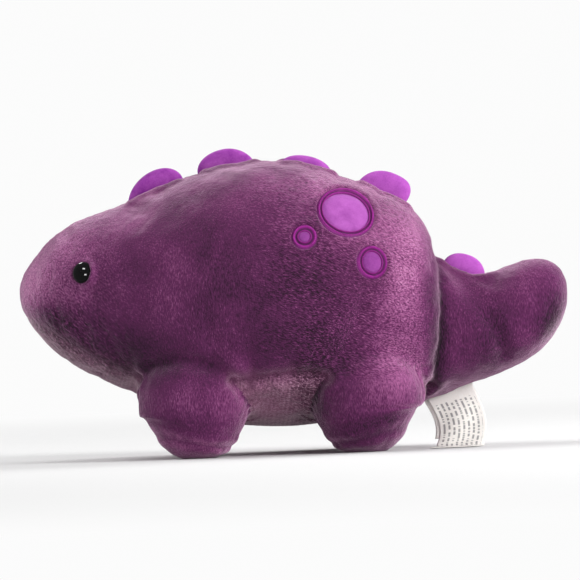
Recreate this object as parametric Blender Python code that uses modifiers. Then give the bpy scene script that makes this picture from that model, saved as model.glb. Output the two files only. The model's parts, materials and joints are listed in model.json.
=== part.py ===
"""Stuffed dinosaur: sewn fabric panels over stuffing, as separate solids.

Metres, +Z up. The soles stand on z = 0, the head points to -X and the tail to +X, and the
toy's own left side is at -Y. Tables of sections are in millimetres.
"""
import math

import bmesh
import bpy
from mathutils import Matrix, Vector

MM = 0.001
GAP = 0.3  # mm between pieces that touch
SKIN = 2.5  # mm, pile fabric of the body and tail
LEG_SKIN = 2.0
SEAM = 0.15  # mm, half of the gap at a seam

# x, underside, back and half width of the body, from the nose to past the tail seam
BODY_SECTIONS = (
    (-145.0, 87.0, 91.0, 2.5),
    (-143.5, 80.0, 98.0, 10.0),
    (-139.0, 72.0, 104.5, 17.5),
    (-130.0, 62.0, 114.0, 26.0),
    (-116.0, 51.5, 125.5, 34.0),
    (-100.0, 43.0, 131.5, 40.0),
    (-81.0, 35.0, 137.5, 46.5),
    (-57.0, 25.0, 147.0, 53.0),
    (-31.0, 17.5, 153.5, 57.0),
    (-3.0, 16.0, 155.0, 57.5),
    (25.0, 17.0, 147.5, 54.0),
    (47.0, 20.5, 138.5, 47.5),
    (63.0, 25.0, 128.5, 40.0),
    (72.0, 28.0, 117.0, 33.5),
    (77.0, 30.0, 103.0, 27.5),
    (79.0, 32.0, 98.0, 25.0),
)
BODY_RINGS = 22
BODY_SIDES = 20

TAIL_SECTIONS = (
    (57.0, 24.0, 112.0, 30.0),
    (69.0, 26.0, 103.0, 28.0),
    (81.0, 29.5, 96.5, 26.0),
    (89.0, 32.5, 91.5, 24.0),
    (99.0, 35.0, 89.5, 22.5),
    (111.0, 39.5, 93.0, 21.5),
    (123.0, 44.5, 97.5, 20.5),
    (133.0, 51.5, 98.0, 18.5),
    (140.0, 61.0, 94.5, 14.0),
    (144.0, 69.0, 88.5, 8.5),
    (145.0, 75.0, 83.0, 3.5),
)
TAIL_RINGS = 13
TAIL_SIDES = 16

WIDEST = 0.45  # share of a section's height at which it is widest
ROUNDNESS = 2.2  # superellipse power of the body's sections

# the seam between a side panel and the belly panel: x, z
BELLY_SEAM = (
    (-160.0, 86.0),
    (-139.0, 76.0),
    (-124.0, 67.0),
    (-106.0, 56.0),
    (-84.0, 46.0),
    (-27.0, 41.0),
    (0.0, 43.0),
    (25.0, 41.0),
    (60.0, 35.0),
    (100.0, 34.0),
)

# the tail swings about this line, which leans back with the seam
TAIL_AXIS_X = 91.0
TAIL_AXIS_Z = 65.0
TAIL_LEAN = 0.14  # x per z, of the axis and of the seam
TAIL_ROOT_RADIUS = 24.0
TAIL_SEAM_X = 72.3  # at the height of TAIL_AXIS_Z
TAIL_RECESS_TOP = 105.0
TAIL_RECESS_GAP = 1.2
TAIL_STUFFING_INSET = 1.0

FRONT_LEG_X = -55.5
REAR_LEG_X = 37.5
LEG_Y = 36.0
LEG_HINGE_Z = 28.0
LEG_HALF_LENGTH = 28.0  # along x, and the radius of the round top
LEG_HALF_WIDTH = 20.0  # along y
LEG_POCKET_GAP = 1.0
LEG_POCKET_BOTTOM = -5.0
LEG_TOP_ANGLES = (20, 40, 58, 74)  # degrees above the hinge, of the rings of the round top
SOLE_RIM_Z = 5.0
# height above the floor, and the share of the leg's full girth there
FOOT_PROFILE = ((0.0, 0.45), (2.0, 0.63), (6.0, 0.79), (12.0, 0.91), (20.0, 0.98), (28.0, 1.0))
LEG_SIDES = 16

# name, x of the middle, length, height above the back, half thickness
PLATES = (
    ("back_plate_1", -71.0, 33.0, 11.5, 4.5),
    ("back_plate_2", -31.0, 35.0, 8.5, 4.5),
    ("back_plate_3", 11.0, 29.0, 5.5, 4.0),
    ("back_plate_4", 51.5, 32.0, 11.0, 4.5),
    ("back_plate_5", 91.5, 25.0, 9.0, 3.8),
)
PLATE_SKIN = 0.9
PLATE_GROOVE_GAP = 0.8
PLATE_RISE = 0.5  # base line above the back
PLATE_REACH = 10.0  # mm each way over which its slope is taken
PLATE_SEGMENTS = 12
PLATE_RINGS = 8

EYE_X = -109.3
EYE_Z = 99.7
EYE_DIAMETER = 12.0
EYE_DOME_HEIGHT = 4.2
EYE_RIM = 0.6  # height of the straight side under the dome
EYE_UNDERCUT = 0.5  # how far the back of the rim is drawn in
EYE_SHANK_DIAMETER = 4.0
EYE_SHANK_LENGTH = 11.0
WASHER_DIAMETER = 14.0
WASHER_THICKNESS = 1.4
WASHER_DEPTH = 4.0
EYE_HOLE_REACH = 8.0  # each way from the fabric, past its thickness
TURN_STEPS = 16

# name, x, z, half length, half height, turn in degrees, border width
SPOTS = (
    ("large_spot", 29.4, 126.0, 15.6, 12.6, -24.0, 2.9),
    ("small_spot", 7.2, 114.2, 6.9, 6.6, 0.0, 2.7),
    ("medium_spot", 42.1, 99.5, 8.2, 8.9, 15.0, 2.7),
)
PATCH_THICKNESS = 0.9
BORDER_THICKNESS = 1.6
SPOT_SIDES = 20
SPOT_START = 8.0  # how far from the middle plane the spots' cutters begin

LABEL_WIDTH = 25.0
LABEL_LENGTH = 50.0
LABEL_BACK_LENGTH = 24.0
LABEL_THICKNESS = 0.35
LABEL_ROOT_X = 81.3
LABEL_ROOT_Y = -1.5
LABEL_TILT = math.radians(17.0)  # of its root, along the tail's rising underside
LABEL_LEAN = math.radians(14.0)  # of the falling ribbon, out from under the tail
LABEL_DROP = 23.8  # straight fall before the bend to the floor
LABEL_BEND_RADIUS = 6.5
LABEL_DRIFT = 6.0  # how far it bows towards the tail as it falls
LABEL_SWEEP = 0.25  # how far it runs back for each millimetre that lies on the floor
LABEL_ROOT_GAP = 1.2  # below the tail's underside
LABEL_PLY_GAP = 1.0
LABEL_BACK_SHIFT = -2.0
LABEL_STEP = 2.0  # between its rows
LABEL_COLUMNS = 5

COLOURS = {
    "body": (0.14, 0.045, 0.12),
    "belly": (0.20, 0.09, 0.16),
    "plate": (0.42, 0.09, 0.44),
    "patch": (0.50, 0.15, 0.50),
    "border": (0.26, 0.03, 0.24),
    "eye": (0.01, 0.01, 0.012),
    "washer": (0.75, 0.74, 0.70),
    "stuffing": (0.82, 0.81, 0.78),
    "label": (0.84, 0.82, 0.78),
}
CLOTH_ROUGHNESS = 0.9
ROUGHNESS = {"patch": 0.8, "border": 0.5, "eye": 0.05, "washer": 0.4, "label": 0.4}
SHARP_ANGLE = math.radians(40.0)


def clear_scene():
    for obj in list(bpy.data.objects):
        bpy.data.objects.remove(obj, do_unlink=True)


def new_collection(name):
    collection = bpy.data.collections.new(name)
    bpy.context.scene.collection.children.link(collection)
    return collection


clear_scene()
PARTS = new_collection("stuffed_dinosaur")
CUTTERS = new_collection("cutters")
MATERIALS = {}


def material(slot):
    """One Principled material for each kind of cloth or plastic."""
    if slot not in MATERIALS:
        made = bpy.data.materials.new(slot)
        made.use_nodes = True
        shader = made.node_tree.nodes["Principled BSDF"]
        shader.inputs["Base Color"].default_value = (*COLOURS[slot], 1.0)
        shader.inputs["Roughness"].default_value = ROUGHNESS.get(slot, CLOTH_ROUGHNESS)
        shader.inputs["Metallic"].default_value = 0.0
        MATERIALS[slot] = made
    return MATERIALS[slot]


def object_from(name, vertices, faces, collection):
    """A mesh object from vertices in millimetres, with its faces turned outwards."""
    mesh = bpy.data.meshes.new(name)
    mesh.from_pydata([tuple(v) for v in vertices], [], faces)
    shaped = bmesh.new()
    shaped.from_mesh(mesh)
    bmesh.ops.recalc_face_normals(shaped, faces=shaped.faces)
    bmesh.ops.scale(shaped, vec=(MM, MM, MM), verts=shaped.verts)
    shaped.to_mesh(mesh)
    shaped.free()
    obj = bpy.data.objects.new(name, mesh)
    collection.objects.link(obj)
    if collection is CUTTERS:
        obj.hide_render = True
        obj.display_type = "WIRE"
    return obj


def cut(obj, cutter, operation="DIFFERENCE"):
    modifier = obj.modifiers.new(cutter.name, "BOOLEAN")
    modifier.operation = operation
    modifier.solver = "EXACT"
    modifier.object = cutter


def hang(obj, pivot):
    """Parents an object to a pivot and leaves it where it is."""
    obj.parent = pivot
    obj.matrix_parent_inverse = Matrix.Translation(-pivot.location)


def finish(obj, slot, pivot=None):
    """Gives a part its material, smooth shading and, if it moves, its pivot."""
    obj.data.materials.append(material(slot))
    obj.data.shade_smooth()
    obj.data.set_sharp_from_angle(angle=SHARP_ANGLE)
    if pivot is not None:
        hang(obj, pivot)


def pivot_at(name, point, parent=None):
    """An empty on a joint's axis, which may hang from another; point is in millimetres."""
    empty = bpy.data.objects.new(name, None)
    empty.empty_display_size = 0.01
    empty.location = Vector(point) * MM
    PARTS.objects.link(empty)
    if parent is not None:
        hang(empty, parent)
    return empty


def spline(table, t):
    """A Catmull-Rom curve through the rows of a table, at t rows from its first."""
    last = len(table) - 1
    i = min(int(t), last - 1)
    u = t - i
    rows = [table[min(max(k, 0), last)] for k in (i - 1, i, i + 1, i + 2)]
    return [
        0.5 * (2 * b + (c - a) * u + (2 * a - 5 * b + 4 * c - d) * u**2 + (3 * b - a - 3 * c + d) * u**3)
        for a, b, c, d in zip(*rows)
    ]


def section_at(table, x):
    """The spline's row at x, by halving, as x rises along every table."""
    low, high = 0.0, len(table) - 1.0
    for _ in range(40):
        middle = 0.5 * (low + high)
        if spline(table, middle)[0] < x:
            low = middle
        else:
            high = middle
    return spline(table, low)


def power(value, exponent):
    return math.copysign(abs(value) ** exponent, value)


def half_width_at(table, x, z):
    """Half the width of the body or tail at one place on its side."""
    _, under, back, half_width = section_at(table, x)
    centre = under + WIDEST * (back - under)
    height = (back - centre) if z > centre else (centre - under)
    share = min(abs(z - centre) / height, 1.0)
    return half_width * (1.0 - share**ROUNDNESS) ** (1.0 / ROUNDNESS)


def ring_lofts(rings, sides):
    """Faces of a tube through equal rings, with a flat cap on each end."""
    faces = [
        (i * sides + k, i * sides + (k + 1) % sides, (i + 1) * sides + (k + 1) % sides, (i + 1) * sides + k)
        for i in range(rings - 1)
        for k in range(sides)
    ]
    faces.append(tuple(range(sides)))
    faces.append(tuple((rings - 1) * sides + k for k in range(sides)))
    return faces


def stuffed_form(name, table, rings, sides, inset, collection):
    """The body's or tail's outer form, drawn in by inset; a negative inset stands proud."""
    vertices = []
    count = 0
    for i in range(rings):
        x, under, back, half_width = spline(table, i * (len(table) - 1) / (rings - 1))
        centre = under + WIDEST * (back - under)
        if half_width - inset < 1.0 or centre - under - inset < 1.0:
            continue
        count += 1
        for k in range(sides):
            angle = 2 * math.pi * (k + 0.5) / sides
            across = power(math.cos(angle), 2 / ROUNDNESS) * (half_width - inset)
            reach = (back - centre) if math.sin(angle) > 0 else (centre - under)
            up = power(math.sin(angle), 2 / ROUNDNESS) * (reach - inset)
            vertices.append((x, across, centre + up))
    return object_from(name, vertices, ring_lofts(count, sides), collection)


def leg_form(name, x, y, inset, collection, pocket=False):
    """A leg: a round foot, a full barrel, and a top that is round about the hinge.

    A pocket is the room that the leg swings in, so its barrel runs straight down.
    """
    grow = LEG_POCKET_GAP if pocket else -inset
    half_length = LEG_HALF_LENGTH + grow
    half_width = LEG_HALF_WIDTH + grow
    if pocket:
        rows = [(z, half_length, half_width) for z in (LEG_POCKET_BOTTOM, LEG_HINGE_Z)]
    else:
        rows = [
            (max(z, inset), LEG_HALF_LENGTH * share - inset, LEG_HALF_WIDTH * share - inset)
            for z, share in FOOT_PROFILE
            if z >= inset or z == 0.0
        ]
    for degrees in LEG_TOP_ANGLES:
        angle = math.radians(degrees)
        rows.append(
            (
                LEG_HINGE_Z + half_length * math.sin(angle),
                half_length * math.cos(angle),
                half_width * math.cos(angle),
            )
        )
    vertices = [
        (
            x + a * math.cos(2 * math.pi * k / LEG_SIDES),
            y + b * math.sin(2 * math.pi * k / LEG_SIDES),
            z,
        )
        for z, a, b in rows
        for k in range(LEG_SIDES)
    ]
    return object_from(name, vertices, ring_lofts(len(rows), LEG_SIDES), collection)


def prism(name, outline, start, length, axes):
    """A flat outline, closed, pushed along a direction.

    outline holds (a, b) pairs; axes gives the directions of a, b and the push.
    """
    along, across, push = axes
    near = [start + along * a + across * b for a, b in outline]
    vertices = near + [p + push * length for p in near]
    return object_from(name, vertices, ring_lofts(2, len(outline)), CUTTERS)


def arc(radius, start, end, steps):
    """Points on a circle about the origin, in degrees."""
    return [
        (
            radius * math.cos(math.radians(start + (end - start) * i / steps)),
            radius * math.sin(math.radians(start + (end - start) * i / steps)),
        )
        for i in range(steps + 1)
    ]


def cylinder(name, radius, start, push, length, steps):
    """A cylinder cutter from start along push."""
    push = push.normalized()
    along = push.orthogonal().normalized()
    across = push.cross(along)
    outline = arc(radius, 0, 360 - 360 / steps, steps - 1)
    return prism(name, outline, start, length, (along, across, push))


X = Vector((1, 0, 0))
Y = Vector((0, 1, 0))
Z = Vector((0, 0, 1))
REACH = 200.0  # mm, past the toy on every side


def side_region(name, side):
    """Everything on one side of the middle plane."""
    outline = ((-REACH, -REACH), (REACH, -REACH), (REACH, REACH), (-REACH, REACH))
    return prism(name, outline, Y * SEAM * side, REACH, (X, Z, Y * side))


def seam_region(name, above):
    """Everything above or below the seam of the belly panel, less half of the seam's gap."""
    shift = SEAM if above else -SEAM
    outline = [(x, z + shift) for x, z in BELLY_SEAM]
    far = REACH if above else -REACH
    outline += [(BELLY_SEAM[-1][0], far), (BELLY_SEAM[0][0], far)]
    return prism(name, outline, -Y * REACH, 2 * REACH, (X, Z, Y))


tail_axis = Vector((TAIL_LEAN, 0.0, 1.0)).normalized()
tail_point = Vector((TAIL_AXIS_X, 0.0, TAIL_AXIS_Z))
tail_forward = Y.cross(tail_axis)

LEFT_SIDE = side_region("left_side", -1)
RIGHT_SIDE = side_region("right_side", 1)
ABOVE_SEAM = seam_region("above_belly_seam", True)
BELOW_SEAM = seam_region("below_belly_seam", False)
SIDES = (("left", -1, LEFT_SIDE), ("right", 1, RIGHT_SIDE))


def behind_tail_seam():
    """The block behind the body's rear end, which leans with the seam."""
    start = tail_point + tail_forward * (TAIL_SEAM_X - TAIL_AXIS_X) - tail_axis * REACH
    outline = ((0, -REACH), (REACH, -REACH), (REACH, REACH), (0, REACH))
    return prism("behind_tail_seam", outline, start, 2 * REACH, (tail_forward, Y, tail_axis))


def tail_recess():
    """The hollow in the body's rear end that the tail's round root turns in."""
    bottom = tail_point - tail_axis * TAIL_AXIS_Z
    return cylinder(
        "tail_recess", TAIL_ROOT_RADIUS + TAIL_RECESS_GAP, bottom, tail_axis, TAIL_RECESS_TOP, 36
    )


def around_tail_root(name, inset):
    """The block in front of the tail's axis, with a round bite that leaves the root."""
    radius = TAIL_ROOT_RADIUS - inset
    outline = [(0, -REACH), *arc(radius, 270, 90, 16), (0, REACH), (-REACH, REACH), (-REACH, -REACH)]
    start = tail_point - tail_axis * REACH
    return prism(name, outline, start, 2 * REACH, (tail_forward, Y, tail_axis))


def plate_frame(x):
    """The middle of a plate's base line, its direction and its upward direction.

    The line touches a back that bulges, and spans a back that dips.
    """
    table = TAIL_SECTIONS if x > TAIL_SEAM_X else BODY_SECTIONS
    before = section_at(table, x - PLATE_REACH)[2]
    after = section_at(table, x + PLATE_REACH)[2]
    along = Vector((2 * PLATE_REACH, 0.0, after - before)).normalized()
    up = along.cross(Y)
    height = max(section_at(table, x)[2], 0.5 * (before + after))
    return Vector((x, 0.0, height)) + up * PLATE_RISE, along, up


def plate_form(name, x, length, height, half_thickness, inset, collection, groove=False):
    """A rounded plate: a low dome above its base line, and round about that line below it."""
    middle, along, up = plate_frame(x)
    ball = bmesh.new()
    bmesh.ops.create_uvsphere(ball, u_segments=PLATE_SEGMENTS, v_segments=PLATE_RINGS, radius=1.0)
    grow = PLATE_GROOVE_GAP if groove else -inset
    for vertex in ball.verts:
        # the ball's poles lie on the base line
        share, side, rise = vertex.co.z, vertex.co.x, vertex.co.y
        top = half_thickness if (groove or rise < 0) else height
        place = (
            middle
            + along * share * (0.5 * length + grow)
            + Y * side * (half_thickness + grow)
            + up * rise * (top + grow)
        )
        vertex.co = place * MM
    mesh = bpy.data.meshes.new(name)
    ball.to_mesh(mesh)
    ball.free()
    obj = bpy.data.objects.new(name, mesh)
    collection.objects.link(obj)
    if collection is CUTTERS:
        obj.hide_render = True
        obj.display_type = "WIRE"
    return obj


def on_body(x, z, side):
    return Vector((x, side * half_width_at(BODY_SECTIONS, x, z), z))


def eye_frame(side):
    """Where an eye's middle meets the fabric, and the direction that it faces."""
    along = on_body(EYE_X + 1.0, EYE_Z, side) - on_body(EYE_X - 1.0, EYE_Z, side)
    up = on_body(EYE_X, EYE_Z + 1.0, side) - on_body(EYE_X, EYE_Z - 1.0, side)
    return on_body(EYE_X, EYE_Z, side), up.cross(along).normalized() * side


def turned(name, profile, origin, facing):
    """A turned piece from (radius, height) pairs that run down its outer side."""
    mesh = bpy.data.meshes.new(name)
    closed = profile[0][0] > 0
    edges = [(i, i + 1) for i in range(len(profile) - 1)]
    if closed:
        edges.append((len(profile) - 1, 0))
    mesh.from_pydata([(MM * r, 0.0, MM * h) for r, h in profile], edges, [])
    obj = bpy.data.objects.new(name, mesh)
    PARTS.objects.link(obj)
    screw = obj.modifiers.new("turn", "SCREW")
    screw.axis = "Z"
    screw.steps = TURN_STEPS
    screw.render_steps = TURN_STEPS
    screw.use_merge_vertices = True
    screw.merge_threshold = 0.00001
    obj.location = origin * MM
    obj.rotation_mode = "QUATERNION"
    obj.rotation_quaternion = facing.to_track_quat("Z", "Y")
    return obj


def make_eyes():
    """Safety eyes: a domed head on a shank, held behind the fabric by a washer."""
    radius = 0.5 * EYE_DIAMETER
    shank = 0.5 * EYE_SHANK_DIAMETER
    # a shallow dome: an ellipse's quarter from the middle down to the rim
    dome = [
        (radius * math.sin(math.radians(a)), GAP + EYE_RIM + EYE_DOME_HEIGHT * math.cos(math.radians(a)))
        for a in range(0, 91, 15)
    ]
    under = [(radius - EYE_UNDERCUT, GAP), (shank, GAP)]
    under += [(shank, -EYE_SHANK_LENGTH), (0.0, -EYE_SHANK_LENGTH)]
    washer_top = -WASHER_DEPTH
    washer_bottom = washer_top - WASHER_THICKNESS
    outer = 0.5 * WASHER_DIAMETER
    bore = shank + GAP
    ring = [(outer, washer_top), (outer, washer_bottom), (bore, washer_bottom), (bore, washer_top)]
    for label, side, _ in SIDES:
        place, facing = eye_frame(side)
        finish(turned(f"eye_{label}", dome + under, place, facing), "eye")
        finish(turned(f"eye_washer_{label}", ring, place, facing), "washer")


def eye_hole(label, side):
    place, facing = eye_frame(side)
    radius = 0.5 * EYE_SHANK_DIAMETER + GAP
    start = place - facing * EYE_HOLE_REACH
    return cylinder(f"eye_hole_{label}", radius, start, facing, 2 * EYE_HOLE_REACH, 12)


def washer_hole(label, side):
    place, facing = eye_frame(side)
    radius = 0.5 * WASHER_DIAMETER + 2 * GAP
    depth = EYE_SHANK_LENGTH + 1.0
    return cylinder(f"washer_hole_{label}", radius, place - facing * depth, facing, depth, 16)


def make_body():
    """Two side panels, the belly panel that runs from chin to tail, and the stuffing."""
    inner = stuffed_form("body_inside", BODY_SECTIONS, BODY_RINGS, BODY_SIDES, SKIN, CUTTERS)
    shared = [behind_tail_seam(), tail_recess()]
    for end, x in (("front", FRONT_LEG_X), ("rear", REAR_LEG_X)):
        for label, side, _ in SIDES:
            name = f"{end}_leg_pocket_{label}"
            shared.append(leg_form(name, x, side * LEG_Y, 0.0, CUTTERS, pocket=True))
    grooves = [
        plate_form(f"{name}_groove", x, length, height, half, 0.0, CUTTERS, groove=True)
        for name, x, length, height, half in PLATES
        if x < TAIL_SEAM_X
    ]
    for label, side, region in SIDES:
        panel = stuffed_form(
            f"side_panel_{label}", BODY_SECTIONS, BODY_RINGS, BODY_SIDES, 0.0, PARTS
        )
        cut(panel, region, "INTERSECT")
        cut(panel, ABOVE_SEAM, "INTERSECT")
        for cutter in [inner, *shared, *grooves, eye_hole(label, side)]:
            cut(panel, cutter)
        finish(panel, "body")
    belly = stuffed_form("belly_panel", BODY_SECTIONS, BODY_RINGS, BODY_SIDES, 0.0, PARTS)
    cut(belly, BELOW_SEAM, "INTERSECT")
    for cutter in [inner, *shared]:
        cut(belly, cutter)
    finish(belly, "belly")
    stuffing = stuffed_form(
        "body_stuffing", BODY_SECTIONS, BODY_RINGS, BODY_SIDES, SKIN + GAP, PARTS
    )
    holes = [washer_hole(label, side) for label, side, _ in SIDES]
    for cutter in [*shared, *grooves, *holes]:
        cut(stuffing, cutter)
    finish(stuffing, "stuffing")


def make_tail():
    """Two tail panels and their stuffing, on the tail's pivot."""
    pivot = pivot_at("tail_pivot", tail_point)
    inner = stuffed_form("tail_inside", TAIL_SECTIONS, TAIL_RINGS, TAIL_SIDES, SKIN, CUTTERS)
    root = around_tail_root("tail_root_outside", 0.0)
    name, x, length, height, half = PLATES[-1]
    groove = plate_form("tail_plate_groove", x, length, height, half, 0.0, CUTTERS, groove=True)
    for label, _, region in SIDES:
        panel = stuffed_form(
            f"tail_panel_{label}", TAIL_SECTIONS, TAIL_RINGS, TAIL_SIDES, 0.0, PARTS
        )
        cut(panel, region, "INTERSECT")
        for cutter in (inner, root, groove):
            cut(panel, cutter)
        finish(panel, "body", pivot=pivot)
    stuffing = stuffed_form(
        "tail_stuffing", TAIL_SECTIONS, TAIL_RINGS, TAIL_SIDES, SKIN + GAP, PARTS
    )
    for cutter in (around_tail_root("tail_root_inside", TAIL_STUFFING_INSET), groove):
        cut(stuffing, cutter)
    finish(stuffing, "stuffing", pivot=pivot)
    return pivot


def make_leg(end, label, side, x):
    """An outer and an inner leg panel, the sole that closes them, and the stuffing."""
    y = side * LEG_Y
    name = f"{end}_{label}_leg"
    pivot = pivot_at(f"{name}_pivot", (x, y, LEG_HINGE_Z))
    inner = leg_form(f"{name}_inside", x, y, LEG_SKIN, CUTTERS)
    wide = ((-REACH, -REACH), (REACH, -REACH), (REACH, REACH), (-REACH, REACH))
    below = prism(f"{name}_below_rim", wide, Z * (SOLE_RIM_Z - SEAM), -REACH, (X, Y, Z))
    above = prism(f"{name}_above_rim", wide, Z * (SOLE_RIM_Z + SEAM), REACH, (X, Y, Z))
    outside = prism(f"{name}_outside", wide, Y * (y + side * SEAM), REACH, (X, Z, Y * side))
    inside = prism(f"{name}_inside_half", wide, Y * (y - side * SEAM), REACH, (X, Z, Y * -side))
    for half, region in (("outer", outside), ("inner", inside)):
        panel = leg_form(f"{name}_{half}_panel", x, y, 0.0, PARTS)
        cut(panel, above, "INTERSECT")
        cut(panel, region, "INTERSECT")
        cut(panel, inner)
        finish(panel, "body", pivot=pivot)
    sole = leg_form(f"{name}_sole", x, y, 0.0, PARTS)
    cut(sole, below, "INTERSECT")
    cut(sole, inner)
    finish(sole, "body", pivot=pivot)
    stuffing = leg_form(f"{name}_stuffing", x, y, LEG_SKIN + GAP, PARTS)
    finish(stuffing, "stuffing", pivot=pivot)


def make_plates(tail_pivot):
    """Each back plate: two velour faces sewn together round a light fill."""
    for name, x, length, height, half in PLATES:
        middle, _, _ = plate_frame(x)
        pivot = pivot_at(f"{name}_pivot", middle, tail_pivot if x > TAIL_SEAM_X else None)
        inner = plate_form(f"{name}_inside", x, length, height, half, PLATE_SKIN, CUTTERS)
        for label, _, region in SIDES:
            face = plate_form(f"{name}_{label}_face", x, length, height, half, 0.0, PARTS)
            cut(face, region, "INTERSECT")
            cut(face, inner)
            finish(face, "plate", pivot)
        fill = plate_form(f"{name}_fill", x, length, height, half, PLATE_SKIN + GAP, PARTS)
        finish(fill, "stuffing", pivot)


def oval_cutter(name, spot, side, shrink):
    """A spot's oval, drawn in by shrink, pushed out through the side of the body."""
    _, x, z, half_length, half_height, degrees, _ = spot
    turn = math.radians(degrees)
    along = Vector((math.cos(turn), 0.0, math.sin(turn)))
    across = Vector((-math.sin(turn), 0.0, math.cos(turn)))
    a, b = half_length - shrink, half_height - shrink
    last = 360.0 - 360.0 / SPOT_SIDES
    outline = [(a * c, b * s) for c, s in arc(1.0, 0, last, SPOT_SIDES - 1)]
    return prism(name, outline, Vector((x, side * SPOT_START, z)), REACH, (along, across, Y * side))


def make_spots():
    """Sewn-on spots: a velour patch inside a raised border of satin stitches."""
    form = (BODY_SECTIONS, BODY_RINGS, BODY_SIDES)
    lining = stuffed_form("spot_lining", *form, -GAP, CUTTERS)
    for spot in SPOTS:
        name, border_width = spot[0], spot[-1]
        for label, side, _ in SIDES:
            rim = oval_cutter(f"{name}_rim_{label}", spot, side, 0.0)
            hole = oval_cutter(f"{name}_hole_{label}", spot, side, border_width)
            inset = oval_cutter(f"{name}_inset_{label}", spot, side, border_width + GAP)
            border = stuffed_form(f"{name}_border_{label}", *form, -BORDER_THICKNESS, PARTS)
            cut(border, rim, "INTERSECT")
            cut(border, lining)
            cut(border, hole)
            finish(border, "border")
            patch = stuffed_form(f"{name}_patch_{label}", *form, -PATCH_THICKNESS, PARTS)
            cut(patch, inset, "INTERSECT")
            cut(patch, lining)
            finish(patch, "patch")


def label_row(distance):
    """The middle of the ribbon at a distance from its root, and its direction across."""
    root_z = section_at(TAIL_SECTIONS, LABEL_ROOT_X)[1] - LABEL_ROOT_GAP
    bend_length = (0.5 * math.pi - LABEL_LEAN) * LABEL_BEND_RADIUS
    fallen = min(distance, LABEL_DROP)
    heading = LABEL_LEAN + min(max(distance - LABEL_DROP, 0.0), bend_length) / LABEL_BEND_RADIUS
    laid = max(distance - LABEL_DROP - bend_length, 0.0)
    drop = fallen * math.cos(LABEL_LEAN)
    drop += LABEL_BEND_RADIUS * (math.sin(heading) - math.sin(LABEL_LEAN))
    out = fallen * math.sin(LABEL_LEAN) + laid
    out += LABEL_BEND_RADIUS * (math.cos(LABEL_LEAN) - math.cos(heading))
    share = min(distance / (LABEL_DROP + 0.5 * bend_length), 1.0)
    tilt = LABEL_TILT * (1 - share)
    across = Vector((math.cos(tilt), 0.0, math.sin(tilt)))
    x = LABEL_ROOT_X + LABEL_DRIFT * math.sin(0.75 * math.pi * share) - LABEL_SWEEP * laid
    return Vector((x, LABEL_ROOT_Y - out, root_z - drop)), across


def make_label(tail_pivot):
    """The care label: a satin ribbon of two plies sewn under the tail's root."""
    root, _ = label_row(0.0)
    pivot = pivot_at("care_label_pivot", root, tail_pivot)
    plies = (
        ("care_label_front", LABEL_LENGTH, 0.0, 0.0),
        ("care_label_back", LABEL_BACK_LENGTH, LABEL_PLY_GAP, LABEL_BACK_SHIFT),
    )
    last = LABEL_COLUMNS - 1
    for name, length, behind, shift in plies:
        steps = int(length / LABEL_STEP)
        vertices = []
        for i in range(steps + 1):
            middle, across = label_row(length * i / steps)
            for k in range(LABEL_COLUMNS):
                offset = LABEL_WIDTH * (k / last - 0.5) + shift
                vertices.append(middle + across * offset + Y * behind)
        corners = [i * LABEL_COLUMNS + k for i in range(steps) for k in range(last)]
        faces = [(c, c + 1, c + LABEL_COLUMNS + 1, c + LABEL_COLUMNS) for c in corners]
        ply = object_from(name, vertices, faces, PARTS)
        thickness = ply.modifiers.new("thickness", "SOLIDIFY")
        thickness.thickness = LABEL_THICKNESS * MM
        thickness.offset = 0.0
        finish(ply, "label", pivot)


def main():
    make_body()
    tail_pivot = make_tail()
    for end, x in (("front", FRONT_LEG_X), ("rear", REAR_LEG_X)):
        for label, side, _ in SIDES:
            make_leg(end, label, side, x)
    make_plates(tail_pivot)
    make_eyes()
    make_spots()
    make_label(tail_pivot)


main()
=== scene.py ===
"""A plush dinosaur: the sewn skins, velour plates, spots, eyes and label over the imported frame.

Lengths are in millimetres unless a name says otherwise. Geometry is worked out as numpy arrays
and turned into meshes, in metres, at the end.
"""
import json
import math

import bmesh
import bpy
import numpy as np
from mathutils import Matrix, Vector
from mathutils.bvhtree import BVHTree
from mathutils.kdtree import KDTree


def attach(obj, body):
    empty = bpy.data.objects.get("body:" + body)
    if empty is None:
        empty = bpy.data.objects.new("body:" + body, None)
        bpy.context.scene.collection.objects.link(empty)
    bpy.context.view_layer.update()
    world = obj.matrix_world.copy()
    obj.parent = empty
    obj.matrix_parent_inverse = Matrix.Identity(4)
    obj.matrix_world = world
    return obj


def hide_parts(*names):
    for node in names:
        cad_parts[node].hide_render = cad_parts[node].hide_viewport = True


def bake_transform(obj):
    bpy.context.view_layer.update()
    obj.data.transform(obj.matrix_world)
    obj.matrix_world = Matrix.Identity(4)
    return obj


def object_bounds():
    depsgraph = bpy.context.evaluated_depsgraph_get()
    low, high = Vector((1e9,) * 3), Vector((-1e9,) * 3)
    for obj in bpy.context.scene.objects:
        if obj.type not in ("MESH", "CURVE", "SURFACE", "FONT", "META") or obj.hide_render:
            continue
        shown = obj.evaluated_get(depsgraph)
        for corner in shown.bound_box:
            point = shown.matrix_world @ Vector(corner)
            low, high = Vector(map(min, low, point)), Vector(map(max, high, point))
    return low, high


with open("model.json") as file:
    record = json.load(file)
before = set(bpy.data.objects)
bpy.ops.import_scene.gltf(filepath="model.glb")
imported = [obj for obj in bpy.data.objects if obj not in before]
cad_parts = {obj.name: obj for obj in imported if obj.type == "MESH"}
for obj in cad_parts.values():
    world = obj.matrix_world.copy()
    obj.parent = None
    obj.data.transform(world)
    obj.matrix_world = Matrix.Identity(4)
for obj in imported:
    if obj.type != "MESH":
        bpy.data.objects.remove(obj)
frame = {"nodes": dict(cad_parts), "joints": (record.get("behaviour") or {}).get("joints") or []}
CAD_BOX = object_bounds()
NODES = frame["nodes"]
JOINTS = {joint["name"]: joint for joint in frame["joints"]}
MM = 0.001

SIDES = (("left", -1), ("right", 1))
LEGS = [f"{end}_{side}_leg" for end in ("front", "rear") for side, _ in SIDES]

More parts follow.
